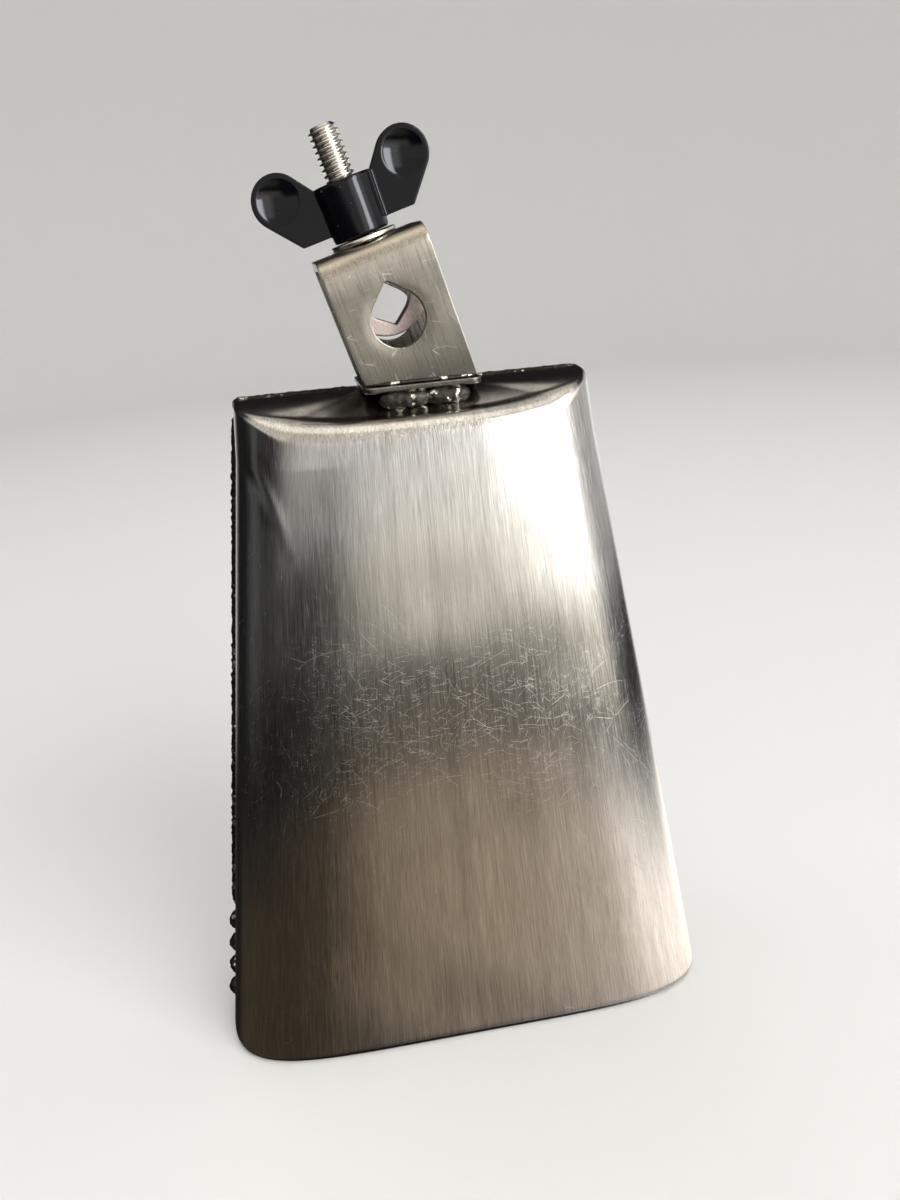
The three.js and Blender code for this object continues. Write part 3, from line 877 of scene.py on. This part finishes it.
def bracket_steel():
    """Plated strap: warm, brushed along its length, brighter on worn edges, with painted shade darkening it towards its
    foot and a painted highlight lightening its top.
    """
    g = Nodes("bracket_steel")
    at = g.place()
    turned = g.node("ShaderNodeMapping", vector_type="TEXTURE")
    g.set(turned.inputs["Vector"], at)
    turned.inputs["Location"].default_value = ORIGIN
    turned.inputs["Rotation"].default_value = TURN.to_euler()
    local = turned.outputs[0]
    _, _, up = g.split(local)
    across = g.noise(g.stretch(local, 60, 3800, 3800), detail=3.0, roughness=0.65)
    along = g.noise(g.stretch(local, 2600, 2600, 90), detail=3.0, roughness=0.6)
    clouds = g.noise(at, 90, detail=4.0, roughness=0.6)
    nicks = crossing_scratches(g, at, 220, (20, 100), 4, 0.04 * MM, 0.56)
    edge = g.node("ShaderNodeNewGeometry").outputs["Pointiness"]
    bright_edge = g.ramp(edge, 0.52, 0.58)
    # painted shade and highlight: the colour is darkened towards the strap's foot and lightened at its top bend, by
    # height alone
    painted_shade_and_top_highlight = g.math("MULTIPLY", g.ramp(up, 0, 13 * MM, 0.4, 1.0), g.ramp(up, 25 * MM, 34 * MM, 0.6, 1.25))
    factor = g.math("MULTIPLY", g.ramp(along, 0.3, 0.7, 0.86, 1.12), g.ramp(clouds, 0.3, 0.7, 0.85, 1.12))
    factor = g.math("MULTIPLY", factor, g.ramp(across, 0.3, 0.7, 0.93, 1.06))
    colour = g.shade(rgb(0.32, 0.285, 0.235), g.math("MULTIPLY", factor, painted_shade_and_top_highlight))
    colour = g.mix(g.math("MULTIPLY", bright_edge, 0.6), colour, rgb(0.85, 0.81, 0.74))
    colour = g.mix(g.math("MULTIPLY", nicks, 0.5), colour, rgb(0.88, 0.85, 0.8))
    roughness = g.ramp(along, 0.3, 0.7, 0.24, 0.36)
    normal = g.bump(g.math("ADD", along, g.math("MULTIPLY", across, 0.6)), 0.008 * MM)
    return g.finish(colour, roughness, normal=normal, anisotropy=0.45)


def bolt_steel():
    """Bright plated thread and washer. The eye's cut faces are matt and slightly pink, with fine pits."""
    g = Nodes("bolt_steel")
    at = g.place()
    turned = g.node("ShaderNodeMapping", vector_type="TEXTURE")
    g.set(turned.inputs["Vector"], at)
    turned.inputs["Location"].default_value = ORIGIN
    turned.inputs["Rotation"].default_value = TURN.to_euler()
    _, _, up = g.split(turned.outputs[0])
    cut_face = g.ramp(up, 29 * MM, 31 * MM, 1.0, 0.0)
    pits = g.noise(at, 1500, detail=3.0, roughness=0.7)
    clouds = g.noise(at, 240, detail=3.0)
    bright = g.shade(rgb(0.74, 0.70, 0.63), g.ramp(clouds, 0.3, 0.7, 0.8, 1.12))
    matt = g.shade(rgb(0.50, 0.41, 0.37), g.ramp(pits, 0.3, 0.7, 0.75, 1.2))
    edge = g.node("ShaderNodeNewGeometry").outputs["Pointiness"]
    # painted shade: hollows such as the thread roots are darkened in the colour
    painted_hollow_shade = g.ramp(edge, 0.42, 0.5, 0.45, 1.0)
    colour = g.shade(g.mix(cut_face, bright, matt), painted_hollow_shade)
    roughness = g.math("ADD", g.ramp(cut_face, 0, 1, 0.2, 0.5), g.ramp(pits, 0.3, 0.7, -0.03, 0.05))
    return g.finish(colour, roughness, normal=g.bump(pits, 0.015 * MM))


def black_paint():
    """Gloss black coating with slight orange peel, dust specks and chips through to bright metal on proud edges."""
    g = Nodes("black_paint")
    at = g.place()
    peel = g.noise(at, 700, detail=2.0)
    edge = g.node("ShaderNodeNewGeometry").outputs["Pointiness"]
    chips = g.math("MULTIPLY", g.ramp(edge, 0.56, 0.6), g.ramp(g.noise(at, 170, detail=3.0), 0.62, 0.65))
    specks = g.ramp(g.noise(at, 1300, detail=1.0), 0.78, 0.8)
    colour = g.mix(specks, rgb(0.002, 0.002, 0.003), rgb(0.16, 0.16, 0.17))
    colour = g.mix(chips, colour, rgb(0.75, 0.73, 0.7))
    roughness = g.math("ADD", g.ramp(peel, 0.3, 0.7, 0.07, 0.12), g.math("MULTIPLY", specks, 0.3))
    normal = g.bump(peel, 0.006 * MM)
    return g.finish(colour, roughness, metallic=chips, normal=normal, specular=0.24)


# ---- assembly ---------------------------------------------------------------------------------------------------
def build_object():
    steel, welded, plated, bolt, paint = (
        brushed_steel(),
        weld_steel(),
        bracket_steel(),
        bolt_steel(),
        black_paint(),
    )
    rows = [
        (shell("front_shell_skin", -1), "bell", "front_shell", "brushed_steel", steel),
        (shell("rear_shell_skin", 1), "bell", "rear_shell", "brushed_steel", steel),
        (side_weld("side_weld_left", -1), "bell", "side_weld_left", "weld_steel", welded),
        (side_weld("side_weld_right", 1), "bell", "side_weld_right", "weld_steel", welded),
        (top_weld("top_weld_left", -1), "bell", "top_weld_left", "weld_steel", welded),
        (top_weld("top_weld_right", 1), "bell", "top_weld_right", "weld_steel", welded),
        (base_weld("base_weld_front", -1), "bell", "base_weld_front", "weld_steel", welded),
        (base_weld("base_weld_rear", 1), "bell", "base_weld_rear", "weld_steel", welded),
        (base_plate("bracket_base_plate"), "bell", "bracket_base_plate", "bracket_steel", plated),
        (strap("bracket_strap"), "bell", "bracket_strap", "bracket_steel", plated),
        (eye_bolt("eye_bolt"), "eye_bolt", "eye_bolt", "bolt_steel", bolt),
        (washer("washer"), "washer", "washer", "bolt_steel", bolt),
        (wing_nut("wing_nut"), "wing_nut", "wing_nut", "black_paint", paint),
    ]
    for piece, body, node, slot_name, material in rows:
        piece.name = node + "_look"
        finish_piece(piece, body, [node], material)


# ---- stage, light and camera ------------------------------------------------------------------------------------
def backdrop():
    """A pale floor that curves up into a round wall. Reflections don't see it: they see the soft boxes below."""
    flat, bend, wall, level = 1.5, 0.7, 2.6, -0.2 * MM
    profile = [(0.001, level), (0.3, level), (0.8, level)]
    profile += [(x, z + level) for x, z in arc((flat, bend), bend, -math.pi / 2, 0, 16)]
    profile.append((flat + bend, wall))
    angles = np.linspace(0, 2 * math.pi, 96, endpoint=False)
    vertices = [(r * math.cos(angle), r * math.sin(angle), z) for r, z in profile for angle in angles]
    piece = new_piece("backdrop", vertices, grid_faces(len(profile), len(angles), wrap_columns=True))
    g = Nodes("backdrop")
    piece.data.materials.append(g.finish(rgb(0.62, 0.615, 0.60), 0.9, metallic=0.0))
    piece.visible_glossy = False


def area_light(name, at, aim, width, height, power, colour):
    """A soft light for the backdrop and the matt surfaces. Metal reflects the soft boxes instead."""
    light = bpy.data.lights.new(name, "AREA")
    light.shape = "RECTANGLE"
    light.size, light.size_y = width, height
    light.energy = power
    light.color = colour
    lamp = bpy.data.objects.new(name, light)
    lamp.location = at
    lamp.rotation_euler = (Vector(aim) - Vector(at)).to_track_quat("-Z", "Y").to_euler()
    lamp.visible_camera = False
    lamp.visible_glossy = False
    bpy.context.scene.collection.objects.link(lamp)


# Soft boxes that reflections see: azimuth range (0 in front, positive to the right), elevation range, softness of
# the edges, all in degrees, then brightness and tint.
WARM, PLAIN, COOL = (1.05, 1.0, 0.9), (1.0, 1.0, 1.0), (0.93, 0.99, 1.06)
BROWN = (1.36, 1.0, 0.62)
SOFT_BOXES = [
    ((-40, 60), (-7, 15), 7, 1.0, PLAIN),
    ((-8, 60), (-13, -7), 6, 1.15, PLAIN),
    ((-3, 60), (-19, -13), 5, 1.5, WARM),
    ((-70, -10), (-14, -7), 9, 0.08, PLAIN),
    ((18, 70), (-13, 30), 6, 2.1, PLAIN),
    ((70, 150), (-13, 30), 6, 0.75, PLAIN),
    ((36, 51), (-5, 50), 2, 16.0, COOL),
    ((-90, 90), (15, 95), 8, 0.85, WARM),
    ((-200, 300), (58, 95), 8, 0.8, WARM),
    ((0, 150), (-70, -22), 7, 0.11, PLAIN),
    ((-2, 150), (-42, -28), 5, 0.33, BROWN),
    ((18, 150), (-70, -29), 8, 0.42, PLAIN),
    ((36, 150), (-37, -26), 8, 1.25, PLAIN),
    ((40, 150), (-70, -36), 8, 0.2, PLAIN),
    ((-125, 0), (-70, -26), 6, 0.042, BROWN),
    ((-98, -74), (-16, 40), 8, 0.14, COOL),
    ((140, 205), (-24, -1), 8, 1.1, PLAIN),
    ((140, 195), (-60, -20), 12, 0.22, BROWN),
]
DARKEST = (0.016, 0.016, 0.016)


def world():
    """Even light for the backdrop, and the soft boxes for reflections."""
    made = bpy.data.worlds.new("studio")
    bpy.context.scene.world = made
    made.use_nodes = True
    g = Nodes.__new__(Nodes)
    g.tree = made.node_tree
    g.tree.nodes.clear()
    x, y, z = g.split(g.node("ShaderNodeTexCoord").outputs["Generated"])
    azimuth = g.math("DEGREES", g.math("ARCTAN2", x, g.math("MULTIPLY", y, -1.0)))
    azimuth = g.math("ADD", azimuth, g.math("MULTIPLY", g.math("LESS_THAN", azimuth, -120.0), 360.0))
    elevation = g.math("DEGREES", g.math("ARCSINE", z))

    def inside(angle, limits, edge):
        rise = g.ramp(angle, limits[0] - edge, limits[0] + edge)
        fall = g.ramp(angle, limits[1] - edge, limits[1] + edge, 1.0, 0.0)
        return g.math("MULTIPLY", rise, fall)

    total = DARKEST
    for across, upright, edge, brightness, tint in SOFT_BOXES:
        share = g.math("MULTIPLY", inside(azimuth, across, edge), inside(elevation, upright, edge / 2))
        box = g.shade(tint, g.math("MULTIPLY", share, brightness))
        added = g.node("ShaderNodeVectorMath", operation="ADD")
        g.set(added.inputs[0], total)
        g.set(added.inputs[1], box)
        total = added.outputs[0]
    even = g.node("ShaderNodeBackground")
    even.inputs["Color"].default_value = rgb(0.95, 0.97, 1.0)
    even.inputs["Strength"].default_value = 0.35
    reflected = g.node("ShaderNodeBackground")
    g.set(reflected.inputs["Color"], total)
    mix = g.node("ShaderNodeMixShader")
    g.set(mix.inputs[0], g.node("ShaderNodeLightPath").outputs["Is Glossy Ray"])
    g.set(mix.inputs[1], even.outputs[0])
    g.set(mix.inputs[2], reflected.outputs[0])
    output = g.node("ShaderNodeOutputWorld")
    g.set(output.inputs["Surface"], mix.outputs[0])


CAMERA_AT = Vector((-26.7, -258.8, 239.4)) * MM
CAMERA_YAW = math.radians(7.20)
CAMERA_PITCH = math.radians(21.25)
CAMERA_ROLL = math.radians(-4.83)
CAMERA_LENS = 28.0


def camera():
    forward = Vector(
        (
            math.sin(CAMERA_YAW) * math.cos(CAMERA_PITCH),
            math.cos(CAMERA_YAW) * math.cos(CAMERA_PITCH),
            -math.sin(CAMERA_PITCH),
        )
    )
    level = Vector((math.cos(CAMERA_YAW), -math.sin(CAMERA_YAW), 0))
    rise = level.cross(forward)
    right = level * math.cos(CAMERA_ROLL) + rise * math.sin(CAMERA_ROLL)
    up = right.cross(forward)
    data = bpy.data.cameras.new("camera")
    data.lens = CAMERA_LENS
    data.clip_start = 0.01
    made = bpy.data.objects.new("camera", data)
    made.matrix_world = Matrix.Translation(CAMERA_AT) @ Matrix((right, up, -forward)).transposed().to_4x4()
    bpy.context.scene.collection.objects.link(made)
    bpy.context.scene.camera = made


def studio():
    backdrop()
    world()
    area_light("window", (0.9, -1.2, 1.1), (0, 0, 0.1), 1.2, 1.0, 30, (1.0, 0.98, 0.95))
    area_light("overhead", (-0.2, 0.2, 1.9), (0, 0, 0), 1.6, 1.6, 26, (1, 1, 1))
    bpy.context.scene.view_settings.view_transform = "Standard"


build_object()
studio()
camera()
